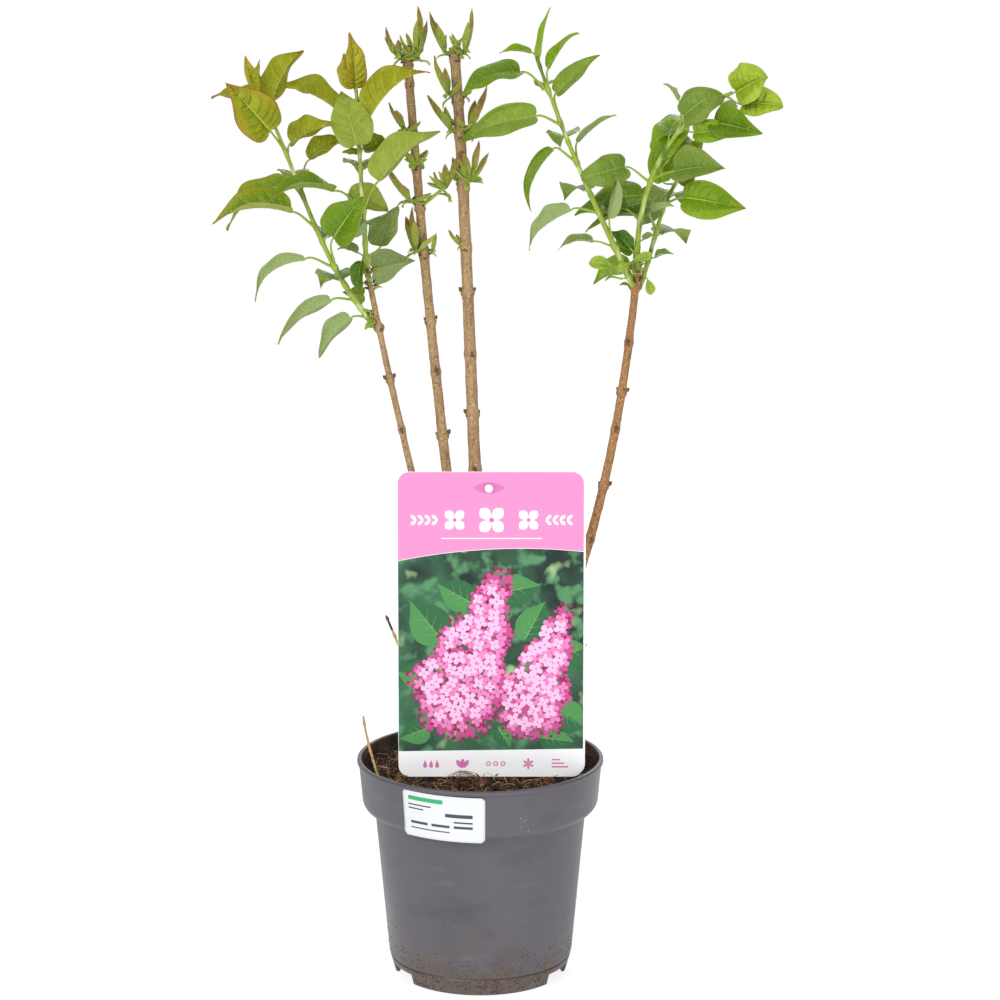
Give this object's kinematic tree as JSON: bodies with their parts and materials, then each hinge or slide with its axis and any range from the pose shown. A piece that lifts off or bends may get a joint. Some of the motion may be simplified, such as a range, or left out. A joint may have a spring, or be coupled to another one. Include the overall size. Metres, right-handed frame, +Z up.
{
  "type": "potted lilac bush",
  "caption": "Young bush of upright woody stems with leafy shoots and opening buds, in a round tapered nursery pot with a plant label.",
  "frame": {"origin": "middle of the pot's flat underside, which stands on the ground", "axes": "+Z up; the plant label faces -Y; +X is on the right of someone who reads the label"},
  "size_m": [0.333, 0.15, 0.5892],
  "materials": {
    "pot_plastic": "satin grey, soiled low down",
    "compost": "moist dark compost with wood fibres",
    "bark": "smooth tan bark with nodes and scars",
    "bark_red": "redder young bark",
    "dry_wood": "dry straw-coloured twig",
    "leaves": "soft green leaves",
    "young_leaves": "soft yellow-green leaves tinted with bronze",
    "buds": "small opening leaves, olive with bronze tips",
    "label_print": "smooth printed card",
    "peg_plastic": "smooth white plastic"
  },
  "bodies": {
    "root": {"pot": "pot_plastic", "compost": "compost", "main_stem": "bark", "stem_left": "bark", "stem_inner_left": "bark", "stem_inner_right": "bark", "stem_right": "bark_red", "weak_stem_left": "dry_wood", "weak_stem_right": "dry_wood", "dry_twig": "dry_wood", "shoot_left_outer": "young_leaves", "shoot_left_upright": "young_leaves", "shoot_right_left": "leaves", "shoot_right_middle": "leaves", "shoot_right_back": "leaves", "buds_inner_left_1": "buds", "buds_inner_left_2": "buds", "buds_inner_left_3": "buds", "buds_inner_left_4": "buds", "buds_inner_left_5": "buds", "buds_inner_left_6": "buds", "buds_inner_left_7": "buds", "buds_inner_left_8": "buds", "buds_inner_left_9": "buds", "buds_inner_right_1": "buds", "buds_inner_right_2": "buds", "buds_inner_right_3": "buds", "buds_inner_right_4": "buds", "buds_inner_right_5": "buds", "buds_inner_right_6": "buds", "buds_inner_right_7": "buds", "buds_inner_right_8": "buds", "buds_inner_right_9": "buds", "label_card": "label_print", "label_peg": "peg_plastic"}
  },
  "joints": []
}
